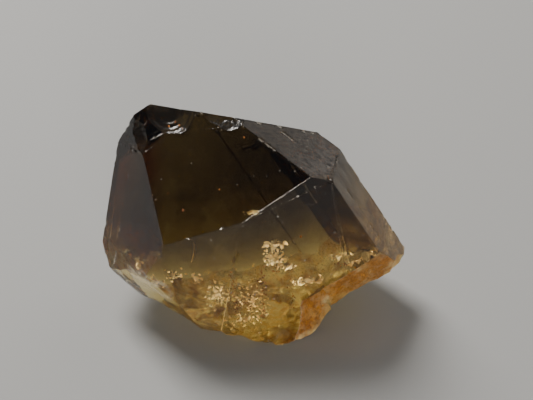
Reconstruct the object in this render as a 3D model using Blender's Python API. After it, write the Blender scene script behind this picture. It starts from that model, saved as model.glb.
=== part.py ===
"""A smoky citrine crystal, broken from its rock, lying on its broken base.

The six rhombohedral faces of the point and the six prism faces stand at the angles of quartz
about one leaning axis. Each face has its own distance from the heart of the crystal, which is
what makes a natural point lopsided. The base is one rough conchoidal break, and chips are
struck from the edges. Lengths here are in millimetres, and the finished mesh is in metres.
"""
import math

import bmesh
import bpy
from mathutils import Matrix, Vector, noise

# The c-axis leans from the vertical towards a compass direction, counted from +X to +Y, and
# the prism is turned about it.
LEAN = 30.2
LEAN_TOWARDS = 176.7
SPIN = 169.7
HEART = Vector((-1.53, 4.22, 8.82))

# Angles of quartz, from the c-axis to the face normal.
POINT_ANGLE = 51.79
PRISM_ANGLE = 90.0
X_ANGLE = 81.95

# Each face: angle from the c-axis, turn about the c-axis, distance from the heart.
FACES = {
    "point_0": (POINT_ANGLE, 0, 7.69),
    "point_60": (POINT_ANGLE, 60, 7.03),
    "point_120": (POINT_ANGLE, 120, 8.76),
    "point_180": (POINT_ANGLE, 180, 11.20),
    "point_240": (POINT_ANGLE, 240, 8.58),
    "point_300": (POINT_ANGLE, 300, 5.81),
    "prism_0": (PRISM_ANGLE, 0, 8.82),
    "prism_60": (PRISM_ANGLE, 60, 6.67),
    "prism_120": (PRISM_ANGLE, 120, 6.38),
    "prism_180": (PRISM_ANGLE, 180, 11.85),
    "prism_240": (PRISM_ANGLE, 240, 9.62),
    "prism_300": (PRISM_ANGLE, 300, 5.42),
    "x_face": (X_ANGLE, 291.05, 5.71),
    "bruised_corner": (74.28, 259.47, 8.41),
}
BLOCK = 60.0
ROCK_LEVEL = -1.0

# Growth terraces: a face is lowered by a small depth in the strip along its neighbours, given
# by how far the strip reaches in from each neighbouring face.
TERRACES = (
    ("prism_120", 0.16, (("prism_60", 2.3),)),
    ("prism_120", 0.13, (("point_180", 1.5),)),
    ("prism_60", 0.14, (("prism_120", 1.7), ("point_60", 4.0))),
    ("point_60", 0.10, (("prism_120", 1.6),)),
    ("prism_180", 0.15, (("point_180", 1.4),)),
)

# The break under the crystal, as its height over the ground. It is level about the middle,
# where the crystal rests, and climbs to the rim in ramps: heading of the climb, distance from
# the origin at which it starts, and climb for each millimetre.
RAMPS = (
    (233.0, 1.85, 0.75),
    (169.0, 7.75, 0.72),
    (95.0, 7.60, 0.75),
    (40.0, 6.60, 0.45),
)
LEDGE_START = 3.30
LEDGE_CLIMB = 0.77
LEDGE_HEIGHT = 3.00
LEDGE_LENGTH = 3.90
LEDGE_RISE = 0.22
KEEL_LEVEL = 0.30
REST_CENTRE = Vector((-1.2, 3.2, 0.0))
REST_RADII = (3.0, 3.7)
REST_RAGGED = 0.75
TOE = Vector((1.2, -1.9, 0.0))
TOE_RADIUS = 0.9
SETTLE_DEPTH = 1.7

BREAK_CELL = 0.40
BREAK_SPAN = (32.0, 19.0)
BREAK_MIDDLE = (0.8, 4.3)
BREAK_DEPTH = 6.0
LUMP_SIZE = 2.3
LUMP_HEIGHT = 0.55
HACKLE_SIZE = 1.05
HACKLE_HEIGHT = 0.30
RIPPLE_CENTRE = (-9.5, -6.0)
RIPPLE_LENGTH = 1.9
RIPPLE_HEIGHT = 0.09

# Splinters broken off beside the toe: the block between planes, each plane given by its
# outward normal and a point on it. The normal points away from what breaks off.
SPLINTERS = {
    "toe_flank": (
        ((-0.500, 0.850, -0.110), (2.69, -1.30, 3.64)),
        ((-0.390, -0.150, 0.900), (2.69, -1.30, 3.70)),
        ((0.940, 0.000, 0.340), (4.60, 0.00, 4.50)),
    ),
    "right_tip": (
        ((-0.930, 0.100, 0.340), (11.35, 3.40, 4.40)),
    ),
    "right_rim": (
        ((-0.433, 0.870, 0.233), (4.46, -0.72, 4.50)),
        ((-0.940, -0.100, -0.340), (4.40, -0.72, 4.50)),
    ),
}
SPLINTER_REACH = 16.0
SPLINTER_CELL = 0.55
SPLINTER_ROUGHNESS = 0.16
SPLINTER_LUMP_SIZE = 2.1

# Conchoidal chips: where the blow fell, the direction it came from, the chip's half width and
# its depth.
CHIPS = {
    "crest": ((-7.40, 5.20, 17.45), (-0.10, -0.62, 0.78), 1.85, 0.55),
    "crest_step": ((-8.05, 5.75, 17.95), (0.10, -0.20, 0.97), 0.85, 0.34),
    "ridge": ((-3.15, 4.65, 17.55), (-0.05, -0.45, 0.89), 1.60, 0.36),
    "ridge_step": ((-2.05, 4.75, 17.65), (0.15, 0.10, 0.98), 1.10, 0.30),
    "left_edge": ((-9.75, 4.35, 16.00), (-0.55, -0.65, 0.52), 1.00, 0.16),
    "tip": ((4.97, 1.10, 14.13), (0.50, -0.62, 0.60), 0.38, 0.12),
    "lower_left": ((-11.30, 0.55, 4.55), (-0.75, -0.60, -0.25), 1.35, 0.42),
    "left_foot": ((-12.90, 3.60, 4.10), (-0.75, 0.10, -0.65), 1.20, 0.30),
    "right_foot": ((11.00, 2.60, 4.90), (0.75, -0.45, -0.48), 1.30, 0.40),
    "back_edge": ((-2.40, 11.30, 9.40), (0.10, 0.98, 0.10), 1.90, 0.45),
    "back_foot": ((3.90, 11.20, 2.60), (0.25, 0.75, -0.60), 1.70, 0.45),
    "back_crest": ((-5.30, 10.70, 13.60), (-0.10, 0.80, 0.60), 1.20, 0.30),
}
CHIP_DETAIL = 4
CHIP_RIPPLES = 5.0
CHIP_RIPPLE_HEIGHT = 0.035
CHIP_LUMP_SIZE = 1.1
CHIP_LUMP_HEIGHT = 0.10

NOISE_SEED = 7
SLICE_MM = 0.00001
MERGE_MM = 0.004
SAME_FACE_DEGREES = 0.05
LEVEL_MM = 0.002
TO_METRES = 0.001

CITRINE = (0.36, 0.20, 0.07, 1.0)
CITRINE_ROUGHNESS = 0.08
QUARTZ_IOR = 1.544


def clear_scene():
    for thing in list(bpy.data.objects):
        bpy.data.objects.remove(thing, do_unlink=True)


def crystal_axes():
    """The turn that carries the upright crystal into its lean."""
    towards = Matrix.Rotation(math.radians(LEAN_TOWARDS), 3, "Z")
    lean = Matrix.Rotation(math.radians(LEAN), 3, "Y")
    spin = Matrix.Rotation(math.radians(SPIN), 3, "Z")
    return towards @ lean @ spin


def face_normal(axes, angle, turn):
    """A face's outward normal, from its angles about the c-axis."""
    polar = math.radians(angle)
    around = math.radians(turn)
    upright = Vector((
        math.sin(polar) * math.cos(around),
        math.sin(polar) * math.sin(around),
        math.cos(polar),
    ))
    return axes @ upright


def slice_off(bm, point, normal):
    """Cut away what lies beyond a plane, and close the cut with one flat face."""
    geometry = bm.verts[:] + bm.edges[:] + bm.faces[:]
    bmesh.ops.bisect_plane(
        bm, geom=geometry, dist=SLICE_MM, plane_co=point, plane_no=normal, clear_outer=True,
    )
    rim = [edge for edge in bm.edges if edge.is_boundary]
    if rim:
        bmesh.ops.contextual_create(bm, geom=rim)


def make_object(name, bm):
    bmesh.ops.recalc_face_normals(bm, faces=bm.faces)
    mesh = bpy.data.meshes.new(name)
    bm.to_mesh(mesh)
    bm.free()
    thing = bpy.data.objects.new(name, mesh)
    bpy.context.scene.collection.objects.link(thing)
    return thing


def perfect_crystal():
    """The crystal before it broke off: a block sliced by every face, down to its rock."""
    axes = crystal_axes()
    bm = bmesh.new()
    bmesh.ops.create_cube(bm, size=BLOCK, matrix=Matrix.Translation(HEART))
    for angle, turn, distance in FACES.values():
        normal = face_normal(axes, angle, turn)
        slice_off(bm, HEART + distance * normal, normal)
    slice_off(bm, Vector((0.0, 0.0, ROCK_LEVEL)), Vector((0.0, 0.0, -1.0)))
    return make_object("crystal", bm)


def ramp_height(x, y):
    """Height of the break without its roughness: the keel, the ramps and the right ledge."""
    height = KEEL_LEVEL
    for heading, start, climb in RAMPS:
        angle = math.radians(heading)
        along = x * math.cos(angle) + y * math.sin(angle)
        height = max(height, (along - start) * climb)
    steep = (x - LEDGE_START) * LEDGE_CLIMB
    shelf = LEDGE_HEIGHT + (x - LEDGE_START - LEDGE_LENGTH) * LEDGE_RISE
    return max(height, min(steep, shelf))


def bowl(x, y, centre, radii):
    """One in the middle of a ragged oval, falling to zero at its edge."""
    away = ((x - centre.x) / radii[0]) ** 2 + ((y - centre.y) / radii[1]) ** 2
    away += noise.noise(Vector((x, y, LUMP_SIZE)) / LUMP_SIZE) * REST_RAGGED
    return max(0.0, 1.0 - away)


def break_height(x, y):
    """Height of the rough break over the ground. The middle and the toe stay level."""
    place = Vector((x, y, 0.0))
    lumps = noise.noise(place / LUMP_SIZE) * LUMP_HEIGHT
    hackles = abs(noise.noise(place / HACKLE_SIZE)) * HACKLE_HEIGHT
    run = math.hypot(x - RIPPLE_CENTRE[0], y - RIPPLE_CENTRE[1])
    ripples = math.sin(run * math.tau / RIPPLE_LENGTH) * RIPPLE_HEIGHT
    rough = lumps + hackles + ripples
    settle = max(
        bowl(x, y, REST_CENTRE, REST_RADII),
        bowl(x, y, TOE, (TOE_RADIUS, TOE_RADIUS)),
    )
    rough -= settle * SETTLE_DEPTH
    return max(0.0, ramp_height(x, y) + rough)


def base_cutter():
    """All that lies under the break."""
    columns = round(BREAK_SPAN[0] / BREAK_CELL)
    rows = round(BREAK_SPAN[1] / BREAK_CELL)
    bm = bmesh.new()
    bmesh.ops.create_grid(bm, x_segments=columns, y_segments=rows, size=0.5)
    for vertex in bm.verts:
        x = vertex.co.x * BREAK_SPAN[0] + BREAK_MIDDLE[0]
        y = vertex.co.y * BREAK_SPAN[1] + BREAK_MIDDLE[1]
        vertex.co = (x, y, break_height(x, y))
    bmesh.ops.triangulate(bm, faces=bm.faces)
    grown = bmesh.ops.extrude_face_region(bm, geom=bm.faces[:])
    for part in grown["geom"]:
        if isinstance(part, bmesh.types.BMVert):
            part.co.z = -BREAK_DEPTH
    return make_object("under_the_break", bm)


def refine(bm, longest):
    """Divide a mesh until no edge is longer than this."""
    while True:
        bmesh.ops.triangulate(bm, faces=[face for face in bm.faces if len(face.verts) > 3])
        long_edges = [edge for edge in bm.edges if edge.calc_length() > longest]
        if not long_edges:
            return
        bmesh.ops.subdivide_edges(bm, edges=long_edges, cuts=1)


def roughen(bm, height, size):
    """Push every point about with smooth noise."""
    for vertex in bm.verts:
        vertex.co += noise.noise_vector(vertex.co / size) * height


def splinter_cutter(name, planes):
    bm = bmesh.new()
    start = Matrix.Translation(Vector(planes[0][1]))
    bmesh.ops.create_cube(bm, size=SPLINTER_REACH, matrix=start)
    for normal, point in planes:
        slice_off(bm, Vector(point), Vector(normal).normalized())
    refine(bm, SPLINTER_CELL)
    roughen(bm, SPLINTER_ROUGHNESS, SPLINTER_LUMP_SIZE)
    return make_object(name, bm)


def terrace_cutter(face, depth, strips):
    """The thin plate that a growth terrace lacks."""
    axes = crystal_axes()
    bm = bmesh.new()
    bmesh.ops.create_cube(bm, size=BLOCK, matrix=Matrix.Translation(HEART))
    for name, inset in ((face, depth),) + strips:
        angle, turn, distance = FACES[name]
        normal = face_normal(axes, angle, turn)
        slice_off(bm, HEART + (distance - inset) * normal, -normal)
    return make_object("terrace", bm)


def chip_cutter(name, blow, facing, half_width, depth):
    """A shell-shaped scoop with rings about the point where the blow fell."""
    radius = (half_width ** 2 + depth ** 2) / (2.0 * depth)
    outward = Vector(facing).normalized()
    centre = Vector(blow) + outward * (radius - depth)
    bm = bmesh.new()
    bmesh.ops.create_icosphere(bm, subdivisions=CHIP_DETAIL, radius=1.0)
    scooping = [vertex for vertex in bm.verts if vertex.co.dot(outward) < 0.0]
    for vertex in bm.verts:
        vertex.co *= radius
    side = outward.orthogonal().normalized() * half_width
    for vertex in scooping:
        ring = (vertex.co + outward * radius + side).length
        wave = math.sin(ring / half_width * CHIP_RIPPLES)
        vertex.co += outward * wave * CHIP_RIPPLE_HEIGHT
    for vertex in bm.verts:
        vertex.co += centre
    roughen(bm, CHIP_LUMP_HEIGHT, CHIP_LUMP_SIZE)
    return make_object("chip_" + name, bm)


def carve(stone, cutter):
    """Take the cutter's volume out of the stone."""
    cut = stone.modifiers.new("cut", "BOOLEAN")
    cut.operation = "DIFFERENCE"
    cut.solver = "EXACT"
    cut.object = cutter
    bpy.context.view_layer.update()
    seen = stone.evaluated_get(bpy.context.evaluated_depsgraph_get())
    carved = bpy.data.meshes.new_from_object(seen)
    stone.modifiers.clear()
    stone.data = carved
    bpy.data.objects.remove(cutter, do_unlink=True)


def tidy_mesh(stone):
    """Join points that nearly meet, and the pieces of each flat face."""
    bm = bmesh.new()
    bm.from_mesh(stone.data)
    bmesh.ops.remove_doubles(bm, verts=bm.verts, dist=MERGE_MM)
    bmesh.ops.dissolve_degenerate(bm, edges=bm.edges, dist=MERGE_MM)
    bmesh.ops.dissolve_limit(
        bm, angle_limit=math.radians(SAME_FACE_DEGREES), verts=bm.verts, edges=bm.edges,
    )
    bmesh.ops.triangulate(bm, faces=bm.faces)
    bmesh.ops.recalc_face_normals(bm, faces=bm.faces)
    bm.to_mesh(stone.data)
    bm.free()


def stand_on_origin(stone):
    """Centre the stone over the origin, put it on the ground, and turn it into metres."""
    corners = [vertex.co for vertex in stone.data.vertices]
    low = Vector([min(corner[axis] for corner in corners) for axis in range(3)])
    high = Vector([max(corner[axis] for corner in corners) for axis in range(3)])
    foot = Vector(((low.x + high.x) / 2.0, (low.y + high.y) / 2.0, low.z))
    for vertex in stone.data.vertices:
        if vertex.co.z < low.z + LEVEL_MM:
            vertex.co.z = low.z
    stone.data.transform(Matrix.Scale(TO_METRES, 4) @ Matrix.Translation(-foot))


def citrine():
    material = bpy.data.materials.new("citrine")
    material.use_nodes = True
    shader = material.node_tree.nodes["Principled BSDF"]
    shader.inputs["Base Color"].default_value = CITRINE
    shader.inputs["Roughness"].default_value = CITRINE_ROUGHNESS
    shader.inputs["Metallic"].default_value = 0.0
    shader.inputs["IOR"].default_value = QUARTZ_IOR
    shader.inputs["Transmission Weight"].default_value = 1.0
    return material


def dress(stone):
    """Give the whole stone its one material."""
    stone.data.materials.clear()
    stone.data.materials.append(citrine())
    for polygon in stone.data.polygons:
        polygon.material_index = 0


def main():
    noise.seed_set(NOISE_SEED)
    clear_scene()
    stone = perfect_crystal()
    for face, depth, strips in TERRACES:
        carve(stone, terrace_cutter(face, depth, strips))
    carve(stone, base_cutter())
    for name, planes in SPLINTERS.items():
        carve(stone, splinter_cutter(name, planes))
    for name, (blow, facing, half_width, depth) in CHIPS.items():
        carve(stone, chip_cutter(name, blow, facing, half_width, depth))
    tidy_mesh(stone)
    stand_on_origin(stone)
    dress(stone)


main()
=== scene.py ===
"""Looks of the smoky citrine crystal: worn edges, a rough stained break and the clear body."""
import math

import bmesh
import bpy
from mathutils import Matrix, Vector, noise


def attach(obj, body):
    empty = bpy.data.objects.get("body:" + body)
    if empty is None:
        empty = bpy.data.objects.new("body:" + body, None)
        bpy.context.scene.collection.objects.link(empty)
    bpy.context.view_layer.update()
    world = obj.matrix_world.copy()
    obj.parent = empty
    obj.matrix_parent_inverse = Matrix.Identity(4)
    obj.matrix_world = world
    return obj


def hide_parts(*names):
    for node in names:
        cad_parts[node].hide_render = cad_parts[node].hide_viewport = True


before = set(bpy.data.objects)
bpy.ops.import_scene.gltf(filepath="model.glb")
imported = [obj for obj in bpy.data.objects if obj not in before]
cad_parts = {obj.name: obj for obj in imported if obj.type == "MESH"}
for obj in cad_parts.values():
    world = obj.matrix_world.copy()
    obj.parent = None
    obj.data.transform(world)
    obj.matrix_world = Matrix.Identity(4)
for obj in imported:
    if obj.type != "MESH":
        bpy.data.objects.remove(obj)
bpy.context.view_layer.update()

MM = 0.001
NOISE_SEED = 11

# The camera, fitted to the corners of the crystal in the photograph.
PHOTO_WIDTH = 533
FOCAL_PIXELS = 1300
SENSOR_MM = 36.0
ELEVATION = math.radians(38.0)
AIM = Vector((1.03, -4.13, 13.12)) * MM
DISTANCE = 99.7 * MM

FLOOR_GAP = 0.02 * MM
FLOOR_HALF = 2.0
FLOOR_COLOUR = (0.400, 0.405, 0.405, 1.0)
SKY_COLOUR = (0.85, 0.90, 1.0, 1.0)
SKY_STRENGTH = 0.12
# Each light: direction from the origin, distance and width in metres, power in watts, colour.
LIGHTS = {
    "key": ((-0.42, 0.60, 0.90), 0.36, 0.16, 1.7, (1.0, 0.96, 0.90)),
    "fill": ((0.12, -1.0, 0.18), 0.42, 0.14, 1.20, (1.0, 0.93, 0.80)),
    "panel": ((0.484, 0.564, 0.669), 0.45, 0.30, 0.21, (1.0, 0.92, 0.84)),
}

# How far the long axis of the crystal leans from the vertical, to the left.
LEAN = math.radians(30.2)

# How finely the surface is divided, and how it is worn and broken.
WELD = 0.0005 * MM
GROWTH_FACE_AREA = 0.6 * MM * MM
SAME_PLANE = 0.006 * MM
SAME_NORMAL = 0.99995
FACING_DOWN = -0.999
PARALLEL = 0.93
EDGE_NEAR_CREASE = 0.14 * MM
EDGE_ON_FACE = 0.70 * MM
EDGE_ON_BREAK = 0.22 * MM
EDGE_ON_CHIP = 0.10 * MM
REFINE_ROUNDS = 7
WEAR_REACH = 0.13 * MM
WEAR_DEPTH = 0.10 * MM
WEAR_SPACING = 0.9 * MM
WEAR_EVERYWHERE = 0.02
WEAR_SPARED = 0.12
WEAR_GAIN = 1.4
WORN_FROM = 0.22
WORN_MOST = 0.7
# The crest is worn more, and the edges in front are worn less.
CREST_LEVEL = 15.4 * MM
CREST_GAIN = 1.3
CREST_EXTRA = 0.25
FRONT = -2.4 * MM
FRONT_SPARED = 0.42
ROOT_TOP = 8.0 * MM
ROOT_FADE = 0.8 * MM
HACKLE_DEPTH = 0.06 * MM
HACKLE_SIZE = 0.55 * MM
HACKLE_MIDDLE = 0.55
REST_LEVEL = 0.08 * MM
# Where the blows fell that chipped the edges, in mm.
STRIKES = [
    (-6.62, 1.17, 17.75),
    (-2.02, 0.21, 17.40),
    (-8.67, 0.11, 16.03),
    (5.99, -3.03, 14.11),
    (-6.89, -5.83, 9.84),
]
RIPPLE_DEPTH = 0.020 * MM
RIPPLE_SPACING = 0.055 * MM
CHIP_ROUGH = 0.07
SHARP_ANGLE = math.radians(32)

# The growth faces that the fractures lie behind: normal, distance from the origin in mm, and
# the way in which the facets behind each one face, so that they catch the low light in front.
WINDOWS = {
    "front_right": ((0.236, -0.957, 0.170), 6.709, (0.126, -0.934, 0.336)),
    "front_left": ((0.033, -0.976, 0.215), 7.491, (0.069, -0.932, 0.355)),
    "big": ((-0.125, -0.734, 0.668), 11.695, (0.027, -0.903, 0.430)),
    "left": ((-0.784, -0.555, 0.280), 11.382, (-0.230, -0.900, 0.360)),
    "corner": ((-0.483, -0.873, 0.062), 9.116, (-0.137, -0.945, 0.300)),
}
# Bright clusters of small fracture facets: name, window, middle and reach in mm, how many, and
# the largest facet in mm.
CLUSTERS = [
    ("upper", "front_right", (1.75, -4.9, 9.15), (0.75, 0, 0.33), 60, 0.28),
    ("lower", "front_right", (1.70, -5.2, 7.85), (0.90, 0, 0.85), 230, 0.19),
    ("beside", "front_right", (2.90, -5.0, 7.00), (0.60, 0, 0.33), 46, 0.26),
    ("right", "front_right", (6.80, -4.0, 7.15), (0.90, 0, 0.30), 46, 0.24),
    ("rim", "front_right", (8.40, -3.7, 6.40), (0.90, 0, 0.26), 36, 0.20),
    ("ledge_top", "front_right", (4.60, -4.9, 5.35), (1.30, 0, 0.33), 80, 0.26),
    ("golden", "big", (-0.20, -4.6, 12.28), (0.62, 0, 0.17), 34, 0.20),
    ("left", "front_left", (-4.42, -6.3, 6.85), (0.38, 0, 0.46), 40, 0.20),
    ("cream", "front_left", (-2.90, -6.5, 5.40), (0.95, 0, 1.00), 170, 0.15),
    ("striped", "front_left", (-6.20, -6.2, 7.10), (0.80, 0, 0.53), 60, 0.13),
    ("corner", "left", (-9.40, -4.0, 6.60), (0.45, 0, 0.49), 50, 0.24),
    ("corner_low", "corner", (-8.00, -5.6, 6.00), (0.90, 0, 0.40), 40, 0.18),
    ("root", "front_right", (0.00, -6.1, 4.40), (1.30, 0, 1.50), 300, 0.14),
    ("toe", "front_right", (-0.60, -6.5, 2.70), (1.60, 0, 0.55), 95, 0.17),
]
CLUSTER_SPREAD = 1.45
# How deep the facets lie behind the face, how far each turns aside, and how thick it is.
FACET_DEPTH = (0.24, 0.90)
FACET_SCATTER = 0.22
FACET_THICKNESS = 0.10

# Iron stains hang in streaks through the root: top, bottom, how far they spread, and how many.
STREAKS = [
    ((-1.75, -5.80, 7.60), (-1.35, -5.50, 2.40), 0.42, 170),
    ((0.60, -5.30, 7.20), (0.75, -5.40, 2.30), 0.50, 190),
    ((1.30, -4.90, 6.75), (1.95, -4.80, 6.60), 0.10, 16),
    ((-3.10, -5.30, 5.20), (-2.40, -4.70, 3.60), 0.60, 36),
    ((3.20, -4.40, 5.40), (2.90, -5.00, 2.60), 0.55, 60),
    ((6.20, -3.20, 6.20), (8.60, -2.30, 5.20), 0.50, 50),
]
FLECK_SIZE = 0.036 * MM
# The stepped ledges at the lower left, which carry a painted silvery sheen: place and reach in mm.
LEDGES = [((-10.2, -4.4, 5.3), 1.3), ((-9.0, -5.1, 5.2), 1.5), ((-7.4, -6.0, 5.2), 1.3)]
# The scratched faces: normal, and how scratched.
FROSTED = [((0.347, -0.161, 0.924), 0.34), ((0.839, -0.228, 0.495), 0.60)]
SAME_FACING = 0.985
# Where iron colours the break: place, and how far round it, in mm.
STAINS = [
    ((4.05, -5.90, 2.20), 3.4),
    ((4.90, -5.40, 3.60), 2.2),
    ((6.90, -4.20, 4.40), 2.9),
    ((8.20, -3.30, 4.60), 2.9),
    ((9.60, -2.30, 5.20), 2.9),
    ((10.90, -1.30, 5.80), 2.6),
    ((2.60, -6.20, 0.60), 1.3),
    ((0.20, -5.50, 1.40), 0.8),
]
STAIN_WANDER = 0.35
STAIN_SPACING = 0.8 * MM
# Flecks stuck on the faces: place and size in mm.
SURFACE_FLECKS = [
    ((-5.42, -4.05, 12.05), 0.09),
    ((-0.70, -0.72, 16.60), 0.06),
    ((3.72, -4.38, 9.70), 0.10),
    ((5.75, -2.55, 14.10), 0.09),
    ((-2.60, -3.30, 13.50), 0.04),
    ((-6.60, -3.00, 12.90), 0.04),
    ((-6.05, 0.62, 17.12), 0.06),
    ((-5.75, 0.42, 16.95), 0.05),
    ((-6.55, 0.40, 16.85), 0.05),
    ((-5.50, 0.20, 16.80), 0.04),
]
# The curved crack: its top, the point that bends it, its bottom, and the way it runs inward.
CRACK_TOP = Vector((-4.62, -5.30, 9.95)) * MM
CRACK_BEND = Vector((-4.50, -5.10, 9.20)) * MM
CRACK_BOTTOM = Vector((-4.85, -5.40, 8.10)) * MM
CRACK_INWARD = (0.10, 0.86, -0.5)
CRACK_DEPTH = 0.9 * MM
CRACK_STEPS = 24
CRACK_HALF_THICKNESS = 0.02 * MM
CRACK_WAVE = 0.03 * MM
CRACK_WAVE_SPACING = 0.25 * MM

# The clear body is pale gold, and one smoky zone above its root darkens it.
QUARTZ_IOR = 1.544
BODY_DENSITY = 155.0
BODY_COLOUR = (0.886, 0.735, 0.03, 1.0)
SMOKE_COLOUR = (0.33, 0.26, 0.12, 1.0)
SMOKE_DENSITY = 385.0
SMOKE_INSET = 0.10 * MM
SMOKE_FLOOR = Vector((0.0, 0.0, 6.5)) * MM
SMOKE_DOWN = Vector((0.12, 0.0, -1.0))

# Tints of the clear faces, and colours of what lies on them.
CLEAR = (1.0, 1.0, 1.0, 1.0)
MOTTLE = (0.72, 0.66, 0.58, 1.0)
TAWNY = (0.44, 0.30, 0.15, 1.0)
AMBER = (0.46, 0.125, 0.012, 1.0)
SMOKY_TOP = (0.26, 0.22, 0.17, 1.0)
# A pale colour painted on the stepped ledges in place of their silvery sheen: a painted highlight.
PAINTED_SILVER_SHEEN = (0.92, 0.78, 0.50, 1.0)
DUST = (0.30, 0.215, 0.13, 1.0)
WORN_EDGE = (0.90, 0.86, 0.76, 1.0)
# Colours of the break, of the fractures and of the iron oxide.
PALE_GOLD = (1.0, 0.88, 0.50, 1.0)
DEEP_GOLD = (0.88, 0.61, 0.20, 1.0)
ORANGE_RUST = (0.56, 0.215, 0.014, 1.0)
BROWN_RUST = (0.30, 0.095, 0.006, 1.0)
RUST_SPOT = (0.16, 0.06, 0.015, 1.0)
BRIGHT_FRACTURE = (1.0, 0.78, 0.36, 1.0)
DEEP_FRACTURE = (0.96, 0.62, 0.18, 1.0)
DARK_FLECK = (0.20, 0.065, 0.018, 1.0)
ORANGE_FLECK = (0.62, 0.23, 0.05, 1.0)


def node(tree, kind, **settings):
    """A shader node with the given settings."""
    made = tree.nodes.new(kind)
    for name, value in settings.items():
        setattr(made, name, value)
    return made


def feed(tree, socket, value):
    """Link a socket into another, or set it to a plain value."""
    if isinstance(value, bpy.types.NodeSocket):
        tree.links.new(value, socket)
    else:
        socket.default_value = value


def math_node(tree, operation, *values):
    """The result of one operation on sockets and plain values."""
    made = node(tree, "ShaderNodeMath", operation=operation)
    for socket, value in zip(made.inputs, values):
        feed(tree, socket, value)
    return made.outputs[0]


def ramp(tree, value, low, high, start=0.0, end=1.0):
    """Value taken smoothly from low..high to start..end."""
    made = node(tree, "ShaderNodeMapRange", interpolation_type="SMOOTHSTEP")
    items = {"Value": value, "From Min": low, "From Max": high, "To Min": start, "To Max": end}
    for name, item in items.items():
        feed(tree, made.inputs[name], item)
    return made.outputs["Result"]


def mix_colour(tree, amount, first, second):
    """The first colour, taken by the amount towards the second."""
    made = node(tree, "ShaderNodeMix", data_type="RGBA")
    feed(tree, made.inputs["Factor"], amount)
    feed(tree, made.inputs["A"], first)
    feed(tree, made.inputs["B"], second)
    return made.outputs["Result"]


def place_in_mm(tree, stretch=(1.0, 1.0, 1.0), turn=(0.0, 0.0, 0.0)):
    """The place on the crystal in millimetres, turned and then stretched."""
    coordinates = node(tree, "ShaderNodeTexCoord")
    turned = node(tree, "ShaderNodeMapping")
    tree.links.new(coordinates.outputs["Object"], turned.inputs["Vector"])
    turned.inputs["Rotation"].default_value = turn
    mapping = node(tree, "ShaderNodeMapping")
    tree.links.new(turned.outputs["Vector"], mapping.inputs["Vector"])
    mapping.inputs["Scale"].default_value = [1000.0 * size for size in stretch]
    return mapping.outputs["Vector"]


def axis_in_mm(tree, axis):
    """The place along one axis in millimetres."""
    parts = node(tree, "ShaderNodeSeparateXYZ")
    tree.links.new(place_in_mm(tree), parts.inputs["Vector"])
    return parts.outputs[axis]


def cloud(tree, place, scale, detail=3.0, roughness=0.55, distortion=0.0):
    """Cloudy noise."""
    made = node(tree, "ShaderNodeTexNoise")
    tree.links.new(place, made.inputs["Vector"])
    made.inputs["Scale"].default_value = scale
    made.inputs["Detail"].default_value = detail
    made.inputs["Roughness"].default_value = roughness
    made.inputs["Distortion"].default_value = distortion
    return made.outputs["Fac"]


def cells(tree, place, scale):
    """Distance to the middle of scattered cells."""
    made = node(tree, "ShaderNodeTexVoronoi")
    tree.links.new(place, made.inputs["Vector"])
    made.inputs["Scale"].default_value = scale
    return made.outputs["Distance"]


def bump(tree, height, strength, distance, below=None):
    """A bump over the surface, or over another bump below it."""
    made = node(tree, "ShaderNodeBump")
    made.inputs["Strength"].default_value = strength
    made.inputs["Distance"].default_value = distance
    tree.links.new(height, made.inputs["Height"])
    if below is not None:
        tree.links.new(below, made.inputs["Normal"])
    return made.outputs["Normal"]


def plane_groups(bm):
    """Gather faces that lie in one plane: [normal, offset, area, faces]."""
    groups = []
    for face in bm.faces:
        normal = face.normal
        offset = normal.dot(face.verts[0].co)
        for group in groups:
            if abs(group[1] - offset) < SAME_PLANE and group[0].dot(normal) > SAME_NORMAL:
                group[2] += face.calc_area()
                group[3].append(face)
                break
        else:
            groups.append([normal.copy(), offset, face.calc_area(), [face]])
    return groups


def mark_broken(bm, broken):
    """Tell what broke from the flat faces that grew, and return the planes of those."""
    for face in bm.faces:
        face[broken] = 1
    planes = []
    for normal, offset, area, faces in plane_groups(bm):
        if area < GROWTH_FACE_AREA or normal.z < FACING_DOWN:
            continue
        planes.append((normal, offset))
        for face in faces:
            face[broken] = 0
    return planes


def crease_distance(point, planes):
    """Distance from a point on one flat face to the plane of the next."""
    own = min(planes, key=lambda plane: abs(plane[0].dot(point) - plane[1]))[0]
    return min(
        abs(normal.dot(point) - offset) for normal, offset in planes if normal.dot(own) < PARALLEL
    )


def refine(bm, broken, planes):
    """Divide the surface, finely where it broke and along the edges of the flat faces."""
    for _ in range(REFINE_ROUNDS):
        long_edges = []
        for edge in bm.edges:
            length = edge.calc_length()
            if length <= EDGE_ON_CHIP:
                continue
            middle = (edge.verts[0].co + edge.verts[1].co) / 2
            if any(face[broken] for face in edge.link_faces):
                limit = EDGE_ON_CHIP if middle.z > ROOT_TOP else EDGE_ON_BREAK
            else:
                limit = min(EDGE_ON_FACE, EDGE_NEAR_CREASE + 0.6 * crease_distance(middle, planes))
            if length > limit:
                long_edges.append(edge)
        if not long_edges:
            return
        bmesh.ops.subdivide_edges(bm, edges=long_edges, cuts=1)
        bmesh.ops.triangulate(bm, faces=[face for face in bm.faces if len(face.verts) > 3])


def wear(bm, broken, planes, worn):
    """Nibble the edges between flat faces, more in some places than in others."""
    moves = []
    for vertex in bm.verts:
        if any(face[broken] for face in vertex.link_faces):
            continue
        reach = 1.0 - crease_distance(vertex.co, planes) / WEAR_REACH
        if reach <= 0.0:
            continue
        patch = noise.fractal(vertex.co / WEAR_SPACING, 0.7, 2.1, 4) - WEAR_SPARED
        if vertex.co.z > CREST_LEVEL:
            patch = patch * CREST_GAIN + CREST_EXTRA
        elif vertex.co.y < FRONT:
            patch = patch - FRONT_SPARED
        amount = reach * (WEAR_EVERYWHERE + max(0.0, patch) * WEAR_GAIN)
        moves.append((vertex, vertex.normal * amount * WEAR_DEPTH))
        vertex[worn] = min(WORN_MOST, max(0.0, amount - WORN_FROM) * 2.0)
    for vertex, move in moves:
        vertex.co -= move


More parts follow.
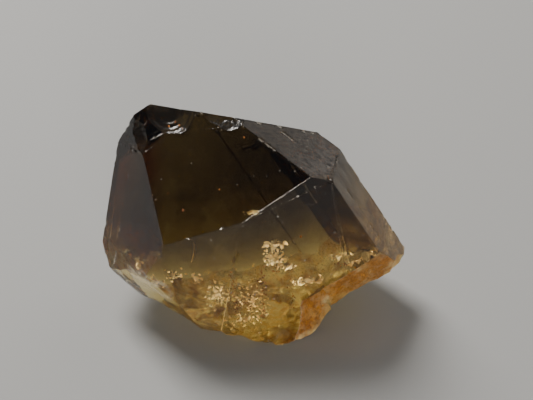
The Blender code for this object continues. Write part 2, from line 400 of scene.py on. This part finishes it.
def hackle(bm, broken, rough):
    """Break up the broken surface with small steps and splinters."""
    moves = []
    for vertex in bm.verts:
        if not all(face[broken] for face in vertex.link_faces):
            continue
        vertex[rough] = min(1.0, max(0.0, (ROOT_TOP - vertex.co.z) / ROOT_FADE))
        if vertex.co.z < REST_LEVEL or vertex[rough] == 0.0:
            continue
        place = vertex.co / HACKLE_SIZE
        height = noise.turbulence(place, 3, True) - HACKLE_MIDDLE
        moves.append((vertex, vertex.normal * height * HACKLE_DEPTH))
    for vertex, move in moves:
        vertex.co += move


def frost(bm, broken, veiled):
    """Mark the scratched faces, that at the upper right and the long strip beside it."""
    for vertex in bm.verts:
        if all(face[broken] for face in vertex.link_faces):
            continue
        for normal, amount in FROSTED:
            if vertex.normal.dot(Vector(normal)) > SAME_FACING:
                vertex[veiled] = amount


def stripe(bm, striped):
    """Mark the stepped ledges at the lower left, where a silvery sheen is painted."""
    for vertex in bm.verts:
        for place, reach in LEDGES:
            share = 1.0 - (vertex.co / MM - Vector(place)).length / reach
            vertex[striped] = max(vertex[striped], min(1.0, max(0.0, share * 2.0)))


def stain(bm, iron):
    """Mark how strongly iron colours each place."""
    for vertex in bm.verts:
        wander = STAIN_WANDER * noise.fractal(vertex.co / STAIN_SPACING, 0.8, 2.0, 3)
        for place, reach in STAINS:
            share = 1.0 - (vertex.co / MM - Vector(place)).length / reach + wander
            vertex[iron] = max(vertex[iron], min(1.0, max(0.0, share * 2.0)))


def ripple(bm, broken):
    """Conchoidal ripples on the glassy chips, in rings about where each was struck."""
    rough, dull = bm.verts.layers.float["rough"], bm.verts.layers.float["dull"]
    for vertex in bm.verts:
        if vertex.co.z < ROOT_TOP or not all(face[broken] for face in vertex.link_faces):
            continue
        strike = min(STRIKES, key=lambda place: (Vector(place) * MM - vertex.co).length)
        distance = (Vector(strike) * MM - vertex.co).length
        fade = noise.noise(vertex.co / (0.9 * MM)) + 0.7
        vertex.co += vertex.normal * RIPPLE_DEPTH * fade * math.sin(distance / RIPPLE_SPACING)
        vertex[rough] = CHIP_ROUGH
        vertex[dull] = 1.0


def cad_mesh():
    """A copy of the crystal of the frame, with its corners welded."""
    bm = bmesh.new()
    bm.from_mesh(bpy.data.objects["crystal"].data)
    bmesh.ops.remove_doubles(bm, verts=bm.verts, dist=WELD)
    bm.normal_update()
    return bm


def add_piece(name, bm, material, smooth=True):
    """Turn a bmesh into a piece of the citrine that rides on the crystal."""
    mesh = bpy.data.meshes.new(name)
    bm.to_mesh(mesh)
    bm.free()
    if smooth:
        mesh.shade_smooth()
        mesh.set_sharp_from_angle(angle=SHARP_ANGLE)
    piece = bpy.data.objects.new(name, mesh)
    bpy.context.scene.collection.objects.link(piece)
    mesh.materials.append(material)
    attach(piece, "root")
    return piece


def build_stone():
    """The body of the crystal, divided finely enough to carry its wear."""
    bm = cad_mesh()
    broken = bm.faces.layers.int.new("broken")
    rough = bm.verts.layers.float.new("rough")
    worn = bm.verts.layers.float.new("worn")
    iron = bm.verts.layers.float.new("iron")
    veiled = bm.verts.layers.float.new("frost")
    striped = bm.verts.layers.float.new("striped")
    bm.verts.layers.float.new("dull")
    planes = mark_broken(bm, broken)
    refine(bm, broken, planes)
    bm.normal_update()
    frost(bm, broken, veiled)
    hackle(bm, broken, rough)
    ripple(bm, broken)
    wear(bm, broken, planes, worn)
    stain(bm, iron)
    stripe(bm, striped)
    stone = add_piece("citrine_body", bm, citrine_material())
    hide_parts("crystal")


def build_smoke():
    """The smoky growth zone inside the upper part of the crystal."""
    bm = cad_mesh()
    for vertex in bm.verts:
        vertex.co -= vertex.normal * SMOKE_INSET
    geometry = bm.verts[:] + bm.edges[:] + bm.faces[:]
    cut = bmesh.ops.bisect_plane(
        bm, geom=geometry, plane_co=SMOKE_FLOOR, plane_no=SMOKE_DOWN, clear_outer=True,
    )
    rim = [item for item in cut["geom_cut"] if isinstance(item, bmesh.types.BMEdge)]
    bmesh.ops.triangle_fill(bm, use_beauty=True, edges=rim)
    bmesh.ops.recalc_face_normals(bm, faces=bm.faces)
    add_piece("smoke_zone", bm, smoke_material(), smooth=False)


def facet(bm, middle, facing, size, seed):
    """A thin ragged plate of fractured quartz."""
    made = bmesh.ops.create_icosphere(bm, subdivisions=2, radius=1.0)
    turn = facing.to_track_quat("Z", "Y").to_matrix() @ Matrix.Rotation(seed * 1.7, 3, "Z")
    for point in made["verts"]:
        around = Vector((point.co.x, point.co.y, seed * 3.1))
        ragged = 1.0 + 0.55 * noise.fractal(around * 1.6, 0.8, 2.0, 3)
        flat = Vector((point.co.x * ragged, point.co.y * ragged * 0.62, point.co.z * FACET_THICKNESS))
        flat.z += 0.10 * (flat.x ** 2 + flat.y ** 2)
        point.co = middle + turn @ (flat * size)


def build_clusters():
    """Fracture facets inside the root that throw the light back in bright patches."""
    material = fracture_material()
    for name, window, middle, reach, count, largest in CLUSTERS:
        normal, offset, front = WINDOWS[window]
        normal = Vector(normal).normalized()
        bm = bmesh.new()
        for number in range(count):
            stray = noise.random_unit_vector() * noise.random() ** 1.3 * CLUSTER_SPREAD
            place = Vector([a + b * c for a, b, c in zip(middle, stray, reach)])
            depth = FACET_DEPTH[0] + (FACET_DEPTH[1] - FACET_DEPTH[0]) * noise.random()
            place = (place - normal * (normal.dot(place) - offset + depth)) * MM
            facing = (Vector(front) + noise.random_vector() * FACET_SCATTER).normalized()
            size = largest * MM * (0.22 + 0.78 * noise.random() ** 2.5)
            facet(bm, place, facing, size, number)
        add_piece("facets_" + name, bm, material)


def blob(bm, middle, size, seed):
    """An uneven grain."""
    made = bmesh.ops.create_icosphere(bm, subdivisions=2, radius=size)
    stretch = Vector((0.7 + 0.6 * noise.random(), 0.7 + 0.6 * noise.random(), 0.6 + 1.1 * noise.random()))
    for point in made["verts"]:
        dent = 1.0 + 0.5 * noise.noise(point.co / size * 1.3 + Vector((seed, 0, 0)))
        point.co = Vector([a * b * dent for a, b in zip(point.co, stretch)]) + middle


def build_iron():
    """Flecks of iron oxide, hung in streaks through the root and stuck on the faces."""
    bm = bmesh.new()
    for top, bottom, spread, count in STREAKS:
        start, end = Vector(top) * MM, Vector(bottom) * MM
        for number in range(count):
            stray = noise.random_vector() * spread * MM * noise.random()
            middle = start.lerp(end, noise.random()) + stray
            size = FLECK_SIZE * (0.45 + 1.4 * noise.random() ** 3)
            blob(bm, middle, size, number)
    for place, size in SURFACE_FLECKS:
        blob(bm, Vector(place) * MM, size * MM, size * 100)
    add_piece("iron_flecks", bm, iron_material())


def build_crack():
    """The curved crack, seen along its sheet."""
    bm = bmesh.new()
    rows = []
    thick = Vector((CRACK_HALF_THICKNESS, 0, 0))
    for step in range(CRACK_STEPS + 1):
        share = step / CRACK_STEPS
        rest = 1 - share
        spine = CRACK_TOP * rest ** 2 + CRACK_BEND * 2 * share * rest + CRACK_BOTTOM * share ** 2
        reach = CRACK_DEPTH * math.sin(math.pi * (0.06 + 0.88 * share))
        inward = Vector(CRACK_INWARD).normalized() * reach
        wave = Vector((CRACK_WAVE, 0, 0)) * noise.noise(spine / CRACK_WAVE_SPACING)
        row = [spine + wave - thick, spine + wave + thick, spine + inward + wave]
        rows.append([bm.verts.new(place) for place in row])
    for first, second in zip(rows, rows[1:]):
        for side in range(3):
            after = (side + 1) % 3
            bm.faces.new((first[side], first[after], second[after], second[side]))
    bm.faces.new(reversed(rows[0]))
    bm.faces.new(rows[-1])
    bmesh.ops.recalc_face_normals(bm, faces=bm.faces)
    add_piece("curved_crack", bm, fracture_material())


def fracture_material():
    """The film of air in a healed fracture, bright like a worn mirror."""
    material, tree, shader = new_material("healed_fracture")
    place = place_in_mm(tree)
    patches = cloud(tree, place, 2.2, detail=4.0)
    tint = mix_colour(tree, ramp(tree, patches, 0.35, 0.7), BRIGHT_FRACTURE, DEEP_FRACTURE)
    tree.links.new(tint, shader.inputs["Base Color"])
    tree.links.new(ramp(tree, patches, 0.3, 0.7, 0.26, 0.42), shader.inputs["Roughness"])
    tree.links.new(ramp(tree, patches, 0.4, 0.7, 0.90, 0.55), shader.inputs["Metallic"])
    tree.links.new(bump(tree, cloud(tree, place, 6.0), 0.10, 0.02 * MM), shader.inputs["Normal"])
    return material


def iron_material():
    """Dull iron oxide, from dark brown to orange."""
    material, tree, shader = new_material("iron_oxide")
    patches = cloud(tree, place_in_mm(tree), 1.4, detail=3.0)
    rust = mix_colour(tree, ramp(tree, patches, 0.42, 0.60), DARK_FLECK, ORANGE_FLECK)
    tree.links.new(rust, shader.inputs["Base Color"])
    shader.inputs["Roughness"].default_value = 0.75
    return material


def absorb(tree, colour, density):
    """Fill the inside with colour that deepens with depth."""
    inside = node(tree, "ShaderNodeVolumeAbsorption")
    inside.inputs["Color"].default_value = colour
    inside.inputs["Density"].default_value = density
    tree.links.new(inside.outputs["Volume"], tree.nodes["Material Output"].inputs["Volume"])


def new_material(name):
    """A material with its node tree and its shader."""
    material = bpy.data.materials.new(name)
    material.use_nodes = True
    tree = material.node_tree
    return material, tree, tree.nodes["Principled BSDF"]


def smoke_material():
    """Smoke without a surface of its own."""
    material, tree, shader = new_material("smoke")
    shader.inputs["Base Color"].default_value = CLEAR
    shader.inputs["Roughness"].default_value = 0.0
    shader.inputs["IOR"].default_value = 1.0
    shader.inputs["Transmission Weight"].default_value = 1.0
    absorb(tree, SMOKE_COLOUR, SMOKE_DENSITY)
    return material


def attribute(tree, name):
    """A share from 0 to 1 that build_stone marked on the surface."""
    made = node(tree, "ShaderNodeAttribute", attribute_name=name)
    return made.outputs["Fac"]


def mix_number(tree, amount, first, second):
    """The first number, taken by the amount towards the second."""
    made = node(tree, "ShaderNodeMix", data_type="FLOAT")
    for name, item in (("Factor", amount), ("A", first), ("B", second)):
        feed(tree, made.inputs[name], item)
    return made.outputs["Result"]


def break_colour(tree, place, grain, patches, iron):
    """Gold quartz, rust where iron stains it, and small dark spots."""
    streaks = cloud(tree, place_in_mm(tree, (1.0, 1.0, 0.35)), 1.6, detail=4.0)
    gold = mix_colour(tree, ramp(tree, streaks, 0.40, 0.62), PALE_GOLD, DEEP_GOLD)
    rust = mix_colour(tree, ramp(tree, grain, 0.40, 0.62), ORANGE_RUST, BROWN_RUST)
    wisps = math_node(tree, "MULTIPLY", ramp(tree, patches, 0.54, 0.66), 0.55)
    stained = mix_colour(tree, math_node(tree, "MAXIMUM", iron, wisps), gold, rust)
    specks = ramp(tree, cells(tree, place, 2.6), 0.17, 0.09)
    spots = math_node(tree, "MULTIPLY", specks, ramp(tree, patches, 0.50, 0.6))
    return mix_colour(tree, spots, stained, RUST_SPOT)


def clear_tint(tree, place, height):
    """Mottled, with a tawny tint at the right, amber at the left and smoke at the top."""
    side = axis_in_mm(tree, "X")
    mottled = ramp(tree, cloud(tree, place, 0.32, 5.0), 0.42, 0.60)
    mottle = mix_colour(tree, mottled, CLEAR, MOTTLE)
    tawny = mix_colour(tree, ramp(tree, side, 6.6, 10.0), mottle, TAWNY)
    leftward = ramp(tree, side, -6.4, -8.6)
    upper_left = math_node(tree, "MULTIPLY", leftward, ramp(tree, height, 6.0, 8.6))
    amber = mix_colour(tree, upper_left, tawny, AMBER)
    return mix_colour(tree, ramp(tree, height, 12.5, 16.5), amber, SMOKY_TOP)


def scratches(tree):
    """Scratches along the crystal, on the frosted faces."""
    along_axis = place_in_mm(tree, (1.7, 1.7, 0.16), (0.0, LEAN, 0.0))
    streaks = ramp(tree, cloud(tree, along_axis, 2.2, 6.0, 0.7), 0.30, 0.72)
    return math_node(tree, "MULTIPLY", attribute(tree, "frost"), streaks)


def ledge_sheen_stripes(tree):
    """Stripes of painted silvery sheen along the stepped ledges."""
    steps = cloud(tree, place_in_mm(tree, (0.35, 0.35, 2.6)), 1.7, 4.0)
    return math_node(tree, "MULTIPLY", attribute(tree, "striped"), ramp(tree, steps, 0.42, 0.56))


def iron_stain(tree, place):
    """How strongly iron colours the break, a little uneven."""
    uneven = ramp(tree, cloud(tree, place, 1.5, 5.0), 0.36, 0.54, 0.72, 1.0)
    return math_node(tree, "MULTIPLY", attribute(tree, "iron"), uneven)


def citrine_material():
    """Clear quartz with fine growth lines, frosted and stained where it broke, with a painted silvery
    sheen on the stepped ledges.
    """
    material, tree, shader = new_material("citrine")
    place = place_in_mm(tree)
    height = axis_in_mm(tree, "Z")
    rough = attribute(tree, "rough")
    worn = attribute(tree, "worn")
    smudges = cloud(tree, place, 0.55, detail=4.0)
    grain = cloud(tree, place, 5.5, detail=5.0, roughness=0.65)
    patches = cloud(tree, place, 0.8, detail=4.0, distortion=0.6)
    iron = iron_stain(tree, place)
    frosted = scratches(tree)
    sheen_stripes = ledge_sheen_stripes(tree)
    flecks = ramp(tree, cells(tree, place, 1.5), 0.13, 0.08)
    dust = math_node(tree, "MULTIPLY", flecks, ramp(tree, smudges, 0.47, 0.60, 0.0, 0.40))

    # The stepped ledges are painted a pale silvery colour that stands for their sheen: a painted
    # highlight. Dust and scratches are real.
    tint_with_painted_sheen = mix_colour(tree, sheen_stripes, clear_tint(tree, place, height), PAINTED_SILVER_SHEEN)
    dust_and_sheen_colour = mix_colour(tree, math_node(tree, "MAXIMUM", frosted, dust), tint_with_painted_sheen, DUST)
    face_colour = mix_colour(tree, worn, dust_and_sheen_colour, WORN_EDGE)
    broken_colour = break_colour(tree, place, grain, patches, iron)
    colour = mix_colour(tree, rough, face_colour, broken_colour)
    tree.links.new(colour, shader.inputs["Base Color"])

    chip_roughness = math_node(tree, "MULTIPLY", attribute(tree, "dull"), 0.22)
    clean_roughness = ramp(tree, smudges, 0.35, 0.75, 0.02, 0.12)
    face_roughness = math_node(tree, "MAXIMUM", clean_roughness, chip_roughness)
    rust_roughness = math_node(tree, "MULTIPLY", iron, 0.25)
    grain_roughness = ramp(tree, grain, 0.3, 0.7, 0.22, 0.50)
    break_roughness = math_node(tree, "ADD", grain_roughness, rust_roughness)
    matt = math_node(tree, "MAXIMUM", rough, worn)
    roughness = mix_number(tree, matt, face_roughness, break_roughness)
    tree.links.new(roughness, shader.inputs["Roughness"])

    veil = math_node(tree, "MAXIMUM", math_node(tree, "MULTIPLY", frosted, 0.5), dust)
    # Less light passes where the painted sheen lies on the ledges, and where the faces are veiled by
    # scratches and dust.
    painted_sheen_and_veil = math_node(tree, "MAXIMUM", math_node(tree, "MULTIPLY", sheen_stripes, 0.6), veil)
    cover = math_node(tree, "MAXIMUM", math_node(tree, "MULTIPLY", worn, 0.45), painted_sheen_and_veil)
    face_clearness = math_node(tree, "SUBTRACT", 1.0, cover)
    near_floor = ramp(tree, height, 0.1, 1.2, 0.45, 1.0)
    break_clearness = math_node(tree, "MULTIPLY", ramp(tree, patches, 0.35, 0.70, 0.80, 0.45), near_floor)
    clearness = mix_number(tree, rough, face_clearness, break_clearness)
    tree.links.new(clearness, shader.inputs["Transmission Weight"])

    across_axis = place_in_mm(tree, (0.12, 0.12, 1.8), (0.0, LEAN, 0.0))
    lines = bump(tree, cloud(tree, across_axis, 2.0, detail=4.0), 0.10, 0.05 * MM)
    grains = math_node(tree, "MULTIPLY", grain, rough)
    tree.links.new(bump(tree, grains, 0.6, 0.12 * MM, lines), shader.inputs["Normal"])

    shader.inputs["IOR"].default_value = QUARTZ_IOR
    absorb(tree, BODY_COLOUR, BODY_DENSITY)
    return material


def floor_material():
    """Plain pale grey."""
    material, tree, shader = new_material("pale_floor")
    shader.inputs["Base Color"].default_value = FLOOR_COLOUR
    shader.inputs["Roughness"].default_value = 0.8
    return material


def build_floor():
    """The floor under the crystal."""
    mesh = bpy.data.meshes.new("floor")
    half = FLOOR_HALF
    low = -FLOOR_GAP
    corners = [(-half, -half, low), (half, -half, low), (half, half, low), (-half, half, low)]
    mesh.from_pydata(corners, [], [(0, 1, 2, 3)])
    floor = bpy.data.objects.new("floor", mesh)
    bpy.context.scene.collection.objects.link(floor)
    floor.data.materials.append(floor_material())


def area_light(name, direction, distance, size, power, colour):
    """A square soft light that faces the origin."""
    light = bpy.data.lights.new(name, "AREA")
    light.shape = "SQUARE"
    light.size = size
    light.energy = power
    light.color = colour
    lamp = bpy.data.objects.new(name, light)
    place = Vector(direction).normalized() * distance
    lamp.location = place
    lamp.rotation_euler = place.to_track_quat("Z", "Y").to_euler()
    bpy.context.scene.collection.objects.link(lamp)


def build_camera():
    """The camera at the photograph's viewing angle."""
    lens = bpy.data.cameras.new("camera")
    lens.sensor_width = SENSOR_MM
    lens.lens = SENSOR_MM * FOCAL_PIXELS / PHOTO_WIDTH
    lens.clip_start = 1.0 * MM
    camera = bpy.data.objects.new("camera", lens)
    camera.location = AIM + Vector((0.0, -math.cos(ELEVATION), math.sin(ELEVATION))) * DISTANCE
    camera.rotation_euler = (math.radians(90.0) - ELEVATION, 0.0, 0.0)
    bpy.context.scene.collection.objects.link(camera)
    bpy.context.scene.camera = camera


def build_studio():
    """A dim sky and the soft lights."""
    world = bpy.data.worlds.new("studio")
    world.use_nodes = True
    sky = world.node_tree.nodes["Background"]
    sky.inputs["Color"].default_value = SKY_COLOUR
    sky.inputs["Strength"].default_value = SKY_STRENGTH
    bpy.context.scene.world = world
    for name, settings in LIGHTS.items():
        area_light(name, *settings)


noise.seed_set(NOISE_SEED)
build_camera()
build_stone()
build_smoke()
build_clusters()
build_crack()
build_iron()
build_floor()
build_studio()
